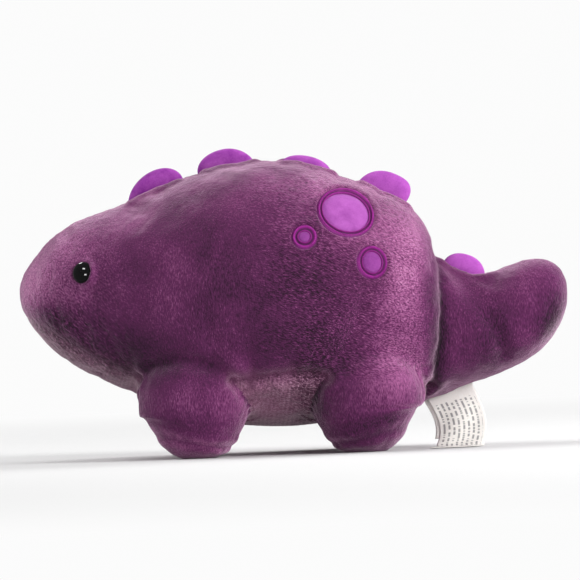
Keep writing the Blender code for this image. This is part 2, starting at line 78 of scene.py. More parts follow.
FIRST_VOXEL = 2.0  # size of the faces when the CAD solids are first joined
VOXEL = 3.0  # size of the form's faces before they are divided
CLOSE = 7.0  # gaps up to twice this wide are closed over
PLUMP = 0.85  # how far the pile stands proud of the form
NOSE_TRIM = 1.3  # how much lower the pile is at the tip of the nose
FLOOR_CLEARANCE = 0.15
RAGGED = 0.8  # how far the pile strays over a seam's line


# ---------------- arrays and meshes
def vertices_of(mesh):
    """A mesh's vertices as an array in millimetres."""
    flat = np.empty(len(mesh.vertices) * 3, np.float32)
    mesh.vertices.foreach_get("co", flat)
    return flat.reshape(-1, 3).astype(float) / MM


def quads_of(mesh):
    """The corners of a mesh that has only four-sided faces."""
    flat = np.empty(len(mesh.loops), np.int32)
    mesh.loops.foreach_get("vertex_index", flat)
    return flat.reshape(-1, 4)


def unit(vectors):
    return vectors / np.maximum(np.linalg.norm(vectors, axis=-1, keepdims=True), 1e-12)


def vertex_normals(points, quads):
    """Smooth normals: at each vertex, the sum over its faces of their diagonals' cross product."""
    facing = np.cross(points[quads[:, 2]] - points[quads[:, 0]], points[quads[:, 3]] - points[quads[:, 1]])
    normals = np.zeros_like(points)
    for corner in range(4):
        for axis in range(3):
            normals[:, axis] += np.bincount(quads[:, corner], facing[:, axis], len(points))
    return unit(normals)


def with_settings(thing, **settings):
    """The thing that was given, once its settings are made."""
    for key, value in settings.items():
        setattr(thing, key, value)
    return thing


def linked(name, data):
    obj = bpy.data.objects.new(name, data)
    bpy.context.scene.collection.objects.link(obj)
    return obj


def mesh_object(name, points, quads, normals=None, **attributes):
    """A smooth mesh from points in millimetres, with its rest place and other values stored on it."""
    mesh = bpy.data.meshes.new(name)
    mesh.vertices.add(len(points))
    mesh.vertices.foreach_set("co", (points * MM).astype(np.float32).ravel())
    mesh.loops.add(quads.size)
    mesh.loops.foreach_set("vertex_index", quads.astype(np.int32).ravel())
    mesh.polygons.add(len(quads))
    mesh.polygons.foreach_set("loop_start", np.arange(0, quads.size, 4, dtype=np.int32))
    mesh.update(calc_edges=True)
    mesh.shade_smooth()
    attributes["rest"] = attributes.get("rest", points)
    for key, values in attributes.items():
        kind, field = ("FLOAT_VECTOR", "vector") if values.ndim == 2 else ("FLOAT", "value")
        layer = mesh.attributes.new(key, kind, "POINT")
        layer.data.foreach_set(field, values.astype(np.float32).ravel())
    if normals is not None:
        mesh.normals_split_custom_set_from_vertices(normals.tolist())
    return linked(name, mesh)


def round_angles(count):
    return np.linspace(0.0, 2.0 * math.pi, count, endpoint=False)


def grid_quads(rows, columns, closed=False, flip=False):
    """Faces of a grid of rows by columns of vertices; a closed grid's columns wrap round."""
    span = columns if closed else columns - 1
    i, k = np.meshgrid(np.arange(rows - 1), np.arange(span), indexing="ij")
    after = (k + 1) % columns
    corners = (i * columns + k, i * columns + after, (i + 1) * columns + after, (i + 1) * columns + k)
    quads = np.stack([c.ravel() for c in corners], axis=1)
    return quads[:, ::-1] if flip else quads


def ring_object(name, rings, flip=False, **attributes):
    """A mesh through closed rings of as many vertices each."""
    quads = grid_quads(len(rings), len(rings[0]), closed=True, flip=flip)
    return mesh_object(name, np.concatenate(rings), quads, **attributes)


def smoothstep(low, high, values):
    t = np.clip((values - low) / (high - low), 0.0, 1.0)
    return t * t * (3.0 - 2.0 * t)


def bell(values, width):
    return np.exp(-((values / width) ** 2))


# ---------------- noise
def lattice(cell, seed):
    """A repeatable random number from -1 to 1 for each whole-numbered cell."""
    mixed = cell[:, 0] * 73856093 ^ cell[:, 1] * 19349663 ^ cell[:, 2] * 83492791 ^ seed * 2654435761
    mixed = (mixed ^ (mixed >> 13)) * 1274126177
    mixed = mixed ^ (mixed >> 16)
    return (mixed & 0xFFFF) / 32767.5 - 1.0


def noise(points, seed):
    """Smooth random values from -1 to 1 that change over about one unit."""
    base = np.floor(points)
    share = points - base
    share = share * share * (3.0 - 2.0 * share)
    cell = base.astype(np.int64)
    total = np.zeros(len(points))
    for corner in np.ndindex(2, 2, 2):
        weight = np.prod(np.where(corner, share, 1.0 - share), axis=1)
        total += weight * lattice(cell + corner, seed)
    return total


def combed(points, degrees, length, width):
    """Points in a space stretched so that noise there runs in tufts along that direction."""
    turn = math.radians(degrees)
    along = points[:, 0] * math.cos(turn) + points[:, 2] * math.sin(turn)
    across = points[:, 2] * math.cos(turn) - points[:, 0] * math.sin(turn)
    return np.stack((along / length, points[:, 1] / width, across / width), axis=1)


# ---------------- the stuffed form
PANELS = ["side_panel_left", "side_panel_right", "belly_panel", "tail_panel_left", "tail_panel_right"]
LEG_PARTS = ("outer_panel", "inner_panel", "sole")
PANELS += [f"{leg}_{part}" for leg in LEGS for part in LEG_PARTS]


def settled(obj):
    """Puts what an object's modifiers make into its own mesh."""
    shown = obj.evaluated_get(bpy.context.evaluated_depsgraph_get())
    mesh = bpy.data.meshes.new_from_object(shown)
    obj.modifiers.clear()
    obj.data = mesh
    return obj


def modify(obj, kind, **settings):
    return with_settings(obj.modifiers.new(kind.lower(), kind), **settings)


def remesh(obj, size):
    modify(obj, "REMESH", mode="VOXEL", voxel_size=size * MM, adaptivity=0.0)


def grow(obj, distance):
    modify(obj, "DISPLACE", mid_level=0.0, strength=distance * MM)


def relax(obj, times):
    modify(obj, "SMOOTH", factor=0.5, iterations=times)


def stuffed_form():
    """One closed form round all the sewn panels and their stuffing, with its gaps closed over."""
    whole = bmesh.new()
    for name, node in NODES.items():
        if name in PANELS or name.endswith("stuffing"):
            whole.from_mesh(node.data)
    mesh = bpy.data.meshes.new("form")
    whole.to_mesh(mesh)
    whole.free()
    form = linked("form", mesh)
    remesh(form, FIRST_VOXEL)
    grow(form, CLOSE)
    remesh(form, VOXEL)
    relax(form, 3)
    grow(form, -CLOSE)
    remesh(form, VOXEL)
    relax(form, 5)
    return settled(form)


def panel_finder():
    """A tree of all the CAD panels' faces, and the panel that each face belongs to."""
    corners, faces, owner = [], [], []
    for index, name in enumerate(PANELS):
        mesh = NODES[name].data
        start = len(corners)
        corners.extend(vertices_of(mesh).tolist())
        for face in mesh.polygons:
            faces.append([start + v for v in face.vertices])
            owner.append(index)
    return BVHTree.FromPolygons(corners, faces), np.array(owner)


PANEL_TREE, PANEL_OWNER = panel_finder()


def nearest_panel(points):
    """The index of the CAD panel nearest to each point."""
    return PANEL_OWNER[[PANEL_TREE.find_nearest(point)[2] for point in points.tolist()]]


def kind_of(panel):
    name = PANELS[panel]
    if name.endswith("sole"):
        return "sole"
    return "leg" if "leg" in name else name.split("_")[0]


# depth, width and how far the pile beside it bulges, by the kinds of panel on each side
SEAM_STYLES = {
    ("side", "side"): (0.5, 1.1, 0.15),
    ("belly", "side"): (0.9, 3.0, 0.8),
    ("tail", "tail"): (0.5, 1.2, 0.2),
    ("side", "tail"): (1.3, 2.8, 0.2),
    ("belly", "tail"): (2.0, 2.0, 0.5),
    ("leg", "side"): (0.5, 2.6, 0.2),
    ("belly", "leg"): (1.3, 2.6, 0.35),
    ("leg", "leg"): (0.6, 1.2, 0.3),
    ("leg", "sole"): (0.3, 1.4, 0.45),
}
OTHER_SEAM = (0.6, 1.4, 0.2)


def seam_vertices(quads, owner, count):
    """The vertices that lie on each kind of seam, by the kinds of panel that meet there."""
    lowest = np.full(count, 999)
    highest = np.full(count, -1)
    for corner in range(4):
        np.minimum.at(lowest, quads[:, corner], owner)
        np.maximum.at(highest, quads[:, corner], owner)
    found = {}
    for vertex in np.nonzero(lowest != highest)[0]:
        kinds = tuple(sorted((kind_of(lowest[vertex]), kind_of(highest[vertex]))))
        found.setdefault(kinds, []).append(vertex)
    return found


PUFF_FRAMES = 20
PUFF_PRESSURE = 4.0
PUFF_LIMIT = 2.2  # how far the cloth may swell from its rest place
PUFF_SLACK = 0.012  # spare cloth, as a share of its length


def puffed(form):
    """The form's cloth under the stuffing's pressure, held along its seams."""
    rest = vertices_of(form.data)
    quads = quads_of(form.data)
    owner = nearest_panel(rest[quads].mean(axis=1))
    held = sorted({v for group in seam_vertices(quads, owner, len(rest)).values() for v in group})
    pins = form.vertex_groups.new(name="seams")
    pins.add([int(v) for v in held], 1.0, "REPLACE")
    cloth = modify(form, "CLOTH")
    with_settings(cloth.settings, quality=5, vertex_group_mass=pins.name, shrink_min=-PUFF_SLACK)
    with_settings(cloth.settings, use_pressure=True, uniform_pressure_force=PUFF_PRESSURE)
    cloth.settings.effector_weights.gravity = 0.0
    with_settings(cloth.point_cache, frame_start=1, frame_end=PUFF_FRAMES)
    for step in range(1, PUFF_FRAMES + 1):
        bpy.context.scene.frame_set(step)
    settled(form)
    bpy.context.scene.frame_set(1)
    moved = vertices_of(form.data) - rest
    length = np.linalg.norm(moved, axis=1, keepdims=True)
    moved *= np.minimum(1.0, PUFF_LIMIT / np.maximum(length, 1e-9))
    form.data.vertices.foreach_set("co", ((rest + moved) * MM).astype(np.float32).ravel())
    form.data.update()
    return form


def divided(obj, levels):
    modify(obj, "SUBSURF", levels=levels, render_levels=levels)
    return settled(obj)


# ---------------- places taken from the frame
def cad_points(node):
    return vertices_of(NODES[node].data)


def centre_of(node):
    return cad_points(node).mean(axis=0)


def place_of(joint):
    return np.array(JOINTS[joint]["pos_m"]) / MM


def eye_place(side):
    """Where an eye's dome meets the pile, the way that it faces, and its radius."""
    points = cad_points(f"eye_{side}")
    inside = centre_of(f"eye_washer_{side}")
    facing = unit(points.mean(axis=0) - inside)
    along = (points - inside) @ facing
    radius = np.linalg.norm(points - inside - along[:, None] * facing, axis=1)
    widest = radius.argmax()
    return inside + along[radius > radius[widest] - 0.05].mean() * facing, facing, radius[widest]


PLATE_NUMBERS = range(1, 6)


def plate_frame(number):
    """The middle of a plate's base line, the direction of that line, and upwards."""
    joint = f"back_plate_{number}_lean"
    along = unit(np.array(JOINTS[joint]["axis"]))
    along = along * np.sign(along[0])
    return place_of(joint), along, np.array((-along[2], 0.0, along[0]))


SPOT_TURNS = {"large_spot": -24.0, "small_spot": 0.0, "medium_spot": 15.0}
BORDER_SHARES = {"large_spot": 1.0, "small_spot": 1.35, "medium_spot": 1.15}  # of the CAD borders' widths


class Oval:
    """A spot's outline in the plane of the toy's side, from its CAD border and patch."""

    def __init__(self, name, side):
        turn = math.radians(SPOT_TURNS[name])
        self.along = np.array((math.cos(turn), 0.0, math.sin(turn)))
        self.across = np.array((-math.sin(turn), 0.0, math.cos(turn)))
        self.sign = dict(SIDES)[side]
        rim = cad_points(f"{name}_border_{side}")
        hole = cad_points(f"{name}_patch_{side}")
        a, b = rim @ self.along, rim @ self.across
        self.middle = np.array((0.5 * (a.min() + a.max()), 0.5 * (b.min() + b.max())))
        self.half = np.array((0.5 * np.ptp(a), 0.5 * np.ptp(b)))
        self.border = BORDER_SHARES[name] * (self.half[0] - 0.5 * np.ptp(hole @ self.along))

    def reach(self, points):
        """How far out points are, as a share of the way to the rim."""
        flat = np.stack((points @ self.along, points @ self.across), axis=1) - self.middle
        return np.linalg.norm(flat / self.half, axis=1)

    def place(self, angles, inset):
        """Points that far inside the rim, in the plane y = 0."""
        a = self.middle[0] + (self.half[0] - inset) * np.cos(angles)
        b = self.middle[1] + (self.half[1] - inset) * np.sin(angles)
        return a[:, None] * self.along + b[:, None] * self.across


OVALS = {(name, side): Oval(name, side) for name in SPOT_TURNS for side, _ in SIDES}


# ---------------- the pile's shape
def nap_weights(points, panel_kinds):
    """How much of the pile lies at a slant and straight down; the rest lies nearly level."""
    x = points[:, 0]
    down = bell(x + 50.0, 34.0)
    down = np.maximum(down, smoothstep(66.0, 78.0, x))
    legs = smoothstep(46.0, 30.0, points[:, 2]) * ((panel_kinds == "leg") | (panel_kinds == "sole"))
    down = np.clip(np.maximum(down, legs), 0.0, 1.0)
    slant = smoothstep(-62.0, -92.0, x)
    return slant * (1.0 - down), down


NAP_DEGREES = {"level": -22.0, "slant": -48.0, "down": -90.0}
NAP_SEEDS = {"level": 11, "slant": 23, "down": 37}
NAP_STARTS = {"level": 0.0, "slant": 7.0, "down": 3.0}  # where each way's streaks begin in the noise


def tufts(points, weights, length, width, seed):
    """Noise in tufts that follow the nap."""
    slant, down = weights
    shares = {"level": 1.0 - slant - down, "slant": slant, "down": down}
    total = np.zeros(len(points))
    for name, share in shares.items():
        total += share * noise(combed(points, NAP_DEGREES[name], length, width), seed + NAP_SEEDS[name])
    return total


# where the pile is painted lighter or darker: partly the nap's brushed patches, partly painted light and
# painted shade: x, z, radii, strength
PAINTED_LIGHT_AND_NAP = (
    (66, 100, 20, 34, 0.20),
    (10, 142, 40, 12, 0.05),
    (26, 111, 14, 12, 0.05),
    (54, 74, 12, 8, 0.07),
    (-139, 96, 14, 16, 0.22),
    (-119, 112, 18, 12, 0.07),
    (-105, 126, 32, 10, 0.05),
    (-8, 72, 52, 32, -0.12),
    (-18, 104, 34, 24, -0.05),
    (17, 55, 16, 21, -0.09),
    (-90, 100, 16, 14, -0.07),
    (-94, 60, 22, 14, -0.13),
    (-127, 71, 18, 13, -0.23),
    (-114, 60, 14, 8, -0.10),
    (57, 42, 12, 16, 0.17),
    (-30, 28, 6, 16, 0.10),
    (-57, 25, 10, 8, -0.06),
    (-120, 116, 16, 8, 0.07),
    (-32, 151, 30, 8, -0.10),
    (-46, 132, 22, 10, -0.05),
    (69, 87, 6, 12, -0.11),
    (72, 42, 5, 14, -0.14),
    (42, 38, 11, 11, 0.03),
    (-96, 48, 30, 8, -0.18),
    (7, 30, 7.5, 15, -0.36),
    (38, 10, 24, 10, -0.16),
    (75, 75, 6.5, 42, -0.22),
    (100, 62, 22, 34, -0.11),
    (108, 59, 6, 10, -0.06),
    (139, 62, 8, 17, -0.26),
)


def painted_light_and_nap_tone(points):
    """How much lighter or darker the pile is painted: partly the way that it was last brushed, partly painted
    light and shade.
    """
    tone = np.zeros(len(points))
    for x, z, wide, high, strength in PAINTED_LIGHT_AND_NAP:
        tone += strength * bell(np.hypot((points[:, 0] - x) / wide, (points[:, 2] - z) / high), 1.0)
    return tone + 0.05 * noise(points / 15.0, 83)


EDGE_FUZZ_HIGHLIGHT = 0.10  # painted highlight: how much lighter the loose pile is painted along the legs' seams
CROSSING = 4.5  # how far the side's pile and the belly's reach over each other


def cut_edges(points, distances):
    """Where the loose pile stands up beside the seams of the legs and the soles: the mask of a painted
    highlight there.
    """
    edge = np.zeros(len(points))
    for kinds in (("leg", "sole"), ("belly", "leg"), ("leg", "leg")):
        if kinds in distances:
            edge = np.maximum(edge, bell(distances[kinds] - 1.8, 1.8))
    return edge * (0.7 + 0.6 * noise(points / 3.0, 89))


def distance_to_path(points, path):
    """The distance from each point to a path through a few points."""
    best = np.full(len(points), 1e9)
    for start, end in zip(path[:-1], path[1:]):
        start, end = np.array(start), np.array(end)
        run = end - start
        share = np.clip((points - start) @ run / (run @ run), 0.0, 1.0)
        best = np.minimum(best, np.linalg.norm(points - start - share[:, None] * run, axis=1))
    return best


def creases(points):
    """Folds that the stuffing leaves: over the front legs, at the rear ankles and beside the tail."""
    depth = np.zeros(len(points))
    for side, sign in SIDES:
        on_side = smoothstep(-4.0, 10.0, points[:, 1] * sign)
        flat = points * np.array((1.0, 0.0, 1.0))
        front = place_of(f"front_{side}_leg_swing")
        rear = place_of(f"rear_{side}_leg_swing")
        tail = place_of("tail_wag")
        folds = (
            (front, ((-31, 12), (-20, 22), (-4, 25), (14, 21), (25, 8)), 1.5, 4.6),
            (rear, ((-27, 14), (-16, 25), (0, 29), (16, 26), (26, 12)), 0.8, 5.0),
            (rear, ((-2, -5), (8, -6.5), (18, -6), (26, -8)), 0.9, 2.4),
            (front, ((-30, 24), (-31, 10)), 1.4, 3.0),
            (front, ((39, 12), (44, 6), (45, -2)), 0.8, 1.5),
            (front, ((58, 14), (53, 11), (50, 6)), 0.6, 1.3),
            (tail, ((12, 2), (17, -6), (19, -16)), 2.4, 4.5),
        )
        for origin, path, deep, width in folds:
            moved = [(origin[0] + dx, 0.0, origin[2] + dz) for dx, dz in path]
            depth += deep * on_side * bell(distance_to_path(flat, moved), width)
    return depth


SWELLING = 0.8  # how far the stuffing's broad unevenness moves the pile
LUMPS = 0.3  # and its smaller lumps
TUFTS = ((0.13, 7.0, 3.4, 101), (0.15, 3.0, 1.3, 211))  # depth, length, width and seed
EYE_SOCKET = 1.3  # how deep an eye is pulled in
EYE_LID = 2.6  # how far the pile rises over its rear edge
PLATE_WELT = 2.0  # how far the pile rises beside a plate
PLATE_SEAM = 1.0  # how far it dips where the plate goes in
SPOT_RIDGE = 0.55
SPOT_SEAT = 1.0


def seam_relief(points, distances):
    """The dip of each seam, and the bulge of the pile beside it."""
    relief = np.zeros(len(points))
    uneven = 1.0 + 0.35 * noise(points / 4.5, 61)
    under_head = 1.0 - 0.85 * smoothstep(-76.0, -92.0, points[:, 0])
    for kinds, distance in distances.items():
        depth, width, bulge = SEAM_STYLES.get(kinds, OTHER_SEAM)
        pucker = uneven * under_head if kinds == ("belly", "side") else uneven
        relief -= depth * pucker * bell(distance, width)
        relief += bulge * pucker * bell(distance - 2.4 * width, 1.3 * width)
    return relief


def eye_relief(points, side):
    """The socket that an eye is pulled into, and the pile that rises over its rear edge."""
    place, facing, radius = eye_place(side)
    flat = points - place
    out = flat @ facing
    reach = np.linalg.norm(flat - out[:, None] * facing, axis=1)
    behind = 0.5 + 0.5 * np.clip((flat[:, 0] - 0.5 * flat[:, 2]) / radius, -1.0, 1.0)
    socket = EYE_SOCKET * (1.0 - 0.7 * behind) * smoothstep(radius + 1.6, radius - 1.0, reach)
    lid = (0.5 + EYE_LID * behind**2) * (1.0 + 0.35 * noise(points / 1.5, 67))
    return (np.abs(out) < 12.0) * (lid * bell(reach - radius + 0.3, 1.6) - socket)


def plate_relief(points, number):
    """The pile that a plate pushes up on both its sides, and the seam between that holds it."""
    middle, along, _ = plate_frame(number)
    flat = points - middle
    beside = smoothstep(19.0, 13.0, np.abs(flat @ along)) * (flat[:, 2] > -20.0)
    welt = PLATE_WELT * bell(np.abs(points[:, 1]) - 7.5, 3.2)
    return beside * (welt - PLATE_SEAM * bell(points[:, 1], 3.5))


def spot_relief(points, oval):
    """The pile pressed flat under a spot, and the ridge that its stitches raise round it."""
    out = (oval.reach(points) - 1.0) * oval.half.mean()
    ridge = SPOT_RIDGE * bell(out - 1.6, 1.3)
    return (points[:, 1] * oval.sign > 5.0) * (ridge - SPOT_SEAT * smoothstep(0.8, -0.8, out))


def pile_height(points, kinds, distances):
    """How far each point of the skin stands out along its normal."""
    weights = nap_weights(points, kinds)
    calm = 1.0 - 0.5 * weights[1]
    height = PLUMP - NOSE_TRIM * smoothstep(-120.0, -143.0, points[:, 0]) - creases(points)
    height += SWELLING * noise(points / 34.0, 3) + LUMPS * calm * noise(points / 13.0, 5)
    for depth, length, width, seed in TUFTS:
        height += depth * calm * tufts(points, weights, length, width, seed)
    height += seam_relief(points, distances)
    height += sum(eye_relief(points, side) for side, _ in SIDES)
    height += sum(plate_relief(points, number) for number in PLATE_NUMBERS)
    height += sum(spot_relief(points, oval) for oval in OVALS.values())
    return height


def seam_distances(points, quads, owner):
    """How far each vertex is from each kind of seam."""
    far = 14.0
    distances = {}
    for kinds, vertices in seam_vertices(quads, owner, len(points)).items():
        tree = KDTree(len(vertices))
        for place, vertex in enumerate(vertices):
            tree.insert(points[vertex].tolist(), place)
        tree.balance()
        low = points[vertices].min(axis=0) - far
        high = points[vertices].max(axis=0) + far
        close = np.nonzero(((points > low) & (points < high)).all(axis=1))[0]
        distance = np.full(len(points), far)
        distance[close] = [tree.find(point)[2] for point in points[close].tolist()]
        distances[kinds] = np.minimum(distance, far)
    return distances


def depth_in_seams(distances, count):
    """How deep in a seam each vertex lies, from 0 to 1."""
    deepest = np.zeros(count)
    for kinds, distance in distances.items():
        depth, width, _ = SEAM_STYLES.get(kinds, OTHER_SEAM)
        deepest = np.maximum(deepest, min(1.0, depth / 2.0) * bell(distance, width))
    return deepest


FOOT_FLAT = 3.0  # radius of the part of a foot that rests on the floor
FOOT_LIFT = 7.0  # how far a foot's edge curls up at its full radius
FOOT_TIP = 12.0  # how much further it curls on the side towards the toy's ends
FOOT_RADIUS = 28.0


def round_feet(points):
    """Curls the edges of the feet up from the floor, as stuffing does."""
    for leg in LEGS:
        middle = place_of(f"{leg}_swing")
        flat = (points - middle)[:, :2] / np.array((1.0, 0.75))
        reach = np.linalg.norm(flat, axis=1)
        share = np.clip((reach - FOOT_FLAT) / (FOOT_RADIUS - FOOT_FLAT), 0.0, 1.3)
        near = (reach < 1.35 * FOOT_RADIUS) * smoothstep(26.0, 3.0, points[:, 2])
        outwards = flat[:, 0] * np.sign(middle[0]) / FOOT_RADIUS
        lift = FOOT_LIFT + FOOT_TIP * np.clip(outwards, -0.4, 1.0)
        points[:, 2] += lift * share**1.5 * near


class Skin:
    """The whole toy's fine skin, before it is split along its seams."""

    def __init__(self):
        form = stuffed_form()
        puffed(form)
        divided(form, 2)
        smooth = vertices_of(form.data)
        self.quads = quads_of(form.data)
        bpy.data.objects.remove(form)
        middles = smooth[self.quads].mean(axis=1)
        ragged = np.stack([noise(middles / 1.3, seed) for seed in (41, 43, 47)], axis=1)
        self.owner = nearest_panel(middles + RAGGED * ragged)
        normals = vertex_normals(smooth, self.quads)
        vertex_owner = np.zeros(len(smooth), int)
        for corner in range(4):
            vertex_owner[self.quads[:, corner]] = self.owner
        kinds = np.array([kind_of(index) for index in range(len(PANELS))])[vertex_owner]
        distances = seam_distances(smooth, self.quads, self.owner)
        height = pile_height(smooth, kinds, distances)
        points = smooth + normals * height[:, None]
        round_feet(points)
        points[:, 2] = np.maximum(points[:, 2], FLOOR_CLEARANCE)
        self.points = points
        self.normals = vertex_normals(points, self.quads)
        slant, down = nap_weights(smooth, kinds)
        self.nap = np.stack((slant, down, depth_in_seams(distances, len(smooth))), axis=1)
        # the pile's painted light and shade, with the painted highlight along the legs' seams
        self.tone = painted_light_and_nap_tone(smooth) + EDGE_FUZZ_HIGHLIGHT * cut_edges(smooth, distances)
        away = distances.get(("belly", "side"), np.full(len(smooth), 99.0))
        self.crossed = 0.5 * bell(np.maximum(away + 1.6 * noise(smooth / 1.6, 97), 0.0), CROSSING)
        self.tree = BVHTree.FromPolygons(points.tolist(), self.quads.tolist())

    def piece(self, panel):
        used, corners = np.unique(self.quads[self.owner == PANELS.index(panel)], return_inverse=True)
        name = "plush_" + panel.replace("_panel", "")
        stored = {key: getattr(self, key)[used] for key in ("normals", "nap", "tone", "crossed")}
        return mesh_object(name, self.points[used], corners.reshape(-1, 4), **stored)

    def seen_from_side(self, places, sign):
        """Where lines along Y meet the skin from that side, and the skin's normals there."""
        starts = places * (1.0, 0.0, 1.0) + (0.0, sign * 200.0, 0.0)
        found = [self.tree.ray_cast(start, (0.0, -sign, 0.0)) for start in starts.tolist()]
        return np.array([hit[0][:] for hit in found]), np.array([hit[1][:] for hit in found])


# ---------------- materials
def linear(*screen):
    """A colour given as 0 to 255 on screen, as the shader wants it."""
    shares = [((c / 255.0 + 0.055) / 1.055) ** 2.4 if c > 10 else c / 3294.6 for c in screen]
    return (*shares, 1.0)


class Shader:
    """The nodes of a material or a world. An input is a value or another node's socket."""

    def __init__(self, owner):
        owner.use_nodes = True
        self.owner = owner
        self.tree = owner.node_tree
        self.tree.nodes.clear()

    def node(self, kind, inputs, **settings):
        made = with_settings(self.tree.nodes.new(f"ShaderNode{kind}"), **settings)
        for key, value in inputs.items():
            if isinstance(value, bpy.types.NodeSocket):
                self.tree.links.new(value, made.inputs[key])
            else:
                made.inputs[key].default_value = value
        return made

    def first(self, kind, inputs, **settings):
        return self.node(kind, inputs, **settings).outputs[0]

    def stored(self, name, output="Fac"):
        """A value that mesh_object stored on the mesh."""
        return self.node("Attribute", {}, attribute_name=name).outputs[output]

    def math(self, operation, first, second=0.0, third=0.0):
        return self.first("Math", {0: first, 1: second, 2: third}, operation=operation)

    def blend(self, share, first, second):
        return self.first("Mix", {0: share, 2: first, 3: second}, data_type="FLOAT")

    def mixed_colours(self, share, first, second):
        return self.node("Mix", {0: share, 6: first, 7: second}, data_type="RGBA").outputs[2]

    def ramp(self, value, stops):
        made = self.node("ValToRGB", {"Fac": value})
        elements = made.color_ramp.elements
        while len(elements) < len(stops):
            elements.new(0.5)
        for element, (position, colour) in zip(elements, stops):
            element.position = position
            element.color = colour
        return made.outputs["Color"]

    def stretched(self, place, scale, offset=0.0):
        return self.first("Mapping", {"Vector": place, "Scale": scale, "Location": (offset, 0.0, 0.0)})

    def streak(self, place, degrees, length, width, offset):
        """Noise drawn out along one direction in the plane of the toy's side."""
        turn = {"Vector": place, "Angle": math.radians(degrees)}
        turned = self.first("VectorRotate", turn, rotation_type="Y_AXIS")
        drawn = self.stretched(turned, (1.0 / length, 1.0 / width, 1.0 / width), offset)
        grain = {"Vector": drawn, "Scale": 1.0, "Detail": 2.0, "Roughness": 0.6, "Distortion": 0.35}
        return self.first("TexNoise", grain)

    def patches(self, place, size, detail=3.0):
        spots = {"Vector": place, "Scale": 1.0 / size, "Detail": detail, "Roughness": 0.55, "Distortion": 0.6}
        return self.first("TexNoise", spots)

    def bumped(self, height, distance, strength):
        return self.first("Bump", {"Height": height, "Distance": distance * MM, "Strength": strength})

    def surface(self, inputs):
        """The material, ended in a principled shader with those inputs."""
        self.node("OutputMaterial", {"Surface": self.first("BsdfPrincipled", inputs)})
        return self.owner


def new_material(name):
    return Shader(bpy.data.materials.new(name))


TONE_STOPS = (0.2, 0.33, 0.49, 0.66, 0.86)
MEAN_TONE = 0.3875
CALMER = 0.42  # how much of the streaks' contrast goes where the pile hangs down
SHARPER = 5.0  # how much contrast the streaks gain for each unit of painted shade in the tone
SHARPER_LIT = 4.0  # and for each unit of painted light
BRUSHED_SHARE = 0.225  # of the broad soft patches in the tone
SEAM_SHADE = 0.16  # painted shade: how much darker the pile is painted down in the deepest seams
KNIT_SHARE = 0.22  # how much the rows of the cloth's knit show through


def plush(name, pile, other, sheen_tint, contrast, grain, knit=0.0):
    """Short shiny pile: streaks along the nap, brushed patches, painted light and shade, and painted shade
    down in the seams.

    pile is its colours from dark to lightest, and other the same for the pile across the seam.
    grain is the streaks' length and width. They are fainter where the pile hangs straight down.
    """
    tree = new_material(name)
    place = tree.stored("rest", "Vector")
    slanted, hanging, in_seam = tree.node("SeparateXYZ", {0: tree.stored("nap", "Vector")}).outputs
    level, slant, down = (
        tree.streak(place, degrees, *grain, NAP_STARTS[way]) for way, degrees in NAP_DEGREES.items()
    )
    fine = tree.blend(hanging, tree.blend(slanted, level, slant), down)
    if knit:
        wave = {"Vector": place, "Scale": knit, "Distortion": 2.0, "Detail": 2.0}
        rows = tree.node("TexWave", wave, bands_direction="X").outputs["Fac"]
        fine = tree.blend(KNIT_SHARE, fine, rows)
    # the pile's painted light and shade, partly from its brushed nap, as stored on the mesh
    painted_light_tone = tree.stored("tone")
    strength = tree.math("MULTIPLY_ADD", hanging, -CALMER * contrast, contrast)
    sharper = tree.math("MULTIPLY_ADD", tree.math("MINIMUM", painted_light_tone), -SHARPER, 1.0)
    sharper = tree.math("MULTIPLY_ADD", tree.math("MAXIMUM", painted_light_tone), SHARPER_LIT, sharper)
    strength = tree.math("MULTIPLY", strength, sharper)
    tone = tree.math("MULTIPLY_ADD", tree.math("SUBTRACT", fine, 0.5), strength, MEAN_TONE)
    tone = tree.math("MULTIPLY_ADD", tree.patches(place, 26.0), BRUSHED_SHARE, tone)
    # painted shade down in the seams
    tone = tree.math("MULTIPLY_ADD", in_seam, -SEAM_SHADE, tone)
    tone = tree.math("ADD", tone, painted_light_tone)
    colour, over = (
        tree.ramp(tone, [(stop, linear(*screen)) for stop, screen in zip(TONE_STOPS, colours)])
        for colours in (pile, other)
    )
    return tree.surface({
        "Base Color": tree.mixed_colours(tree.stored("crossed"), colour, over),
        "Roughness": 0.85,
        "Specular IOR Level": 0.25,
        "Sheen Weight": 1.0,
        "Sheen Roughness": 0.38,
        "Sheen Tint": sheen_tint,
        "Normal": tree.bumped(fine, 1.0, 0.55),
    })


def velour(name, dark, light, sheen_tint, painted_light_to_tail=0.0):
    """Very short dense pile, almost smooth, with soft brushed marks; it may be painted lighter towards the
    tail, a painted highlight where the key light falls.
    """
    tree = new_material(name)
    place = tree.stored("rest", "Vector")
    fine = tree.patches(place, 0.7, detail=2.0)
    tone = tree.blend(0.3, tree.patches(place, 7.0), fine)
    # painted light: lighter towards the tail
    tone = tree.math("MULTIPLY_ADD", tree.first("SeparateXYZ", {0: place}), painted_light_to_tail, tone)
    return tree.surface({
        "Base Color": tree.ramp(tone, ((0.2, linear(*dark)), (0.8, linear(*light)))),
        "Roughness": 0.8,
        "Specular IOR Level": 0.2,
        "Sheen Weight": 0.6,
        "Sheen Roughness": 0.4,
        "Sheen Tint": sheen_tint,
        "Normal": tree.bumped(fine, 0.25, 0.5),
    })


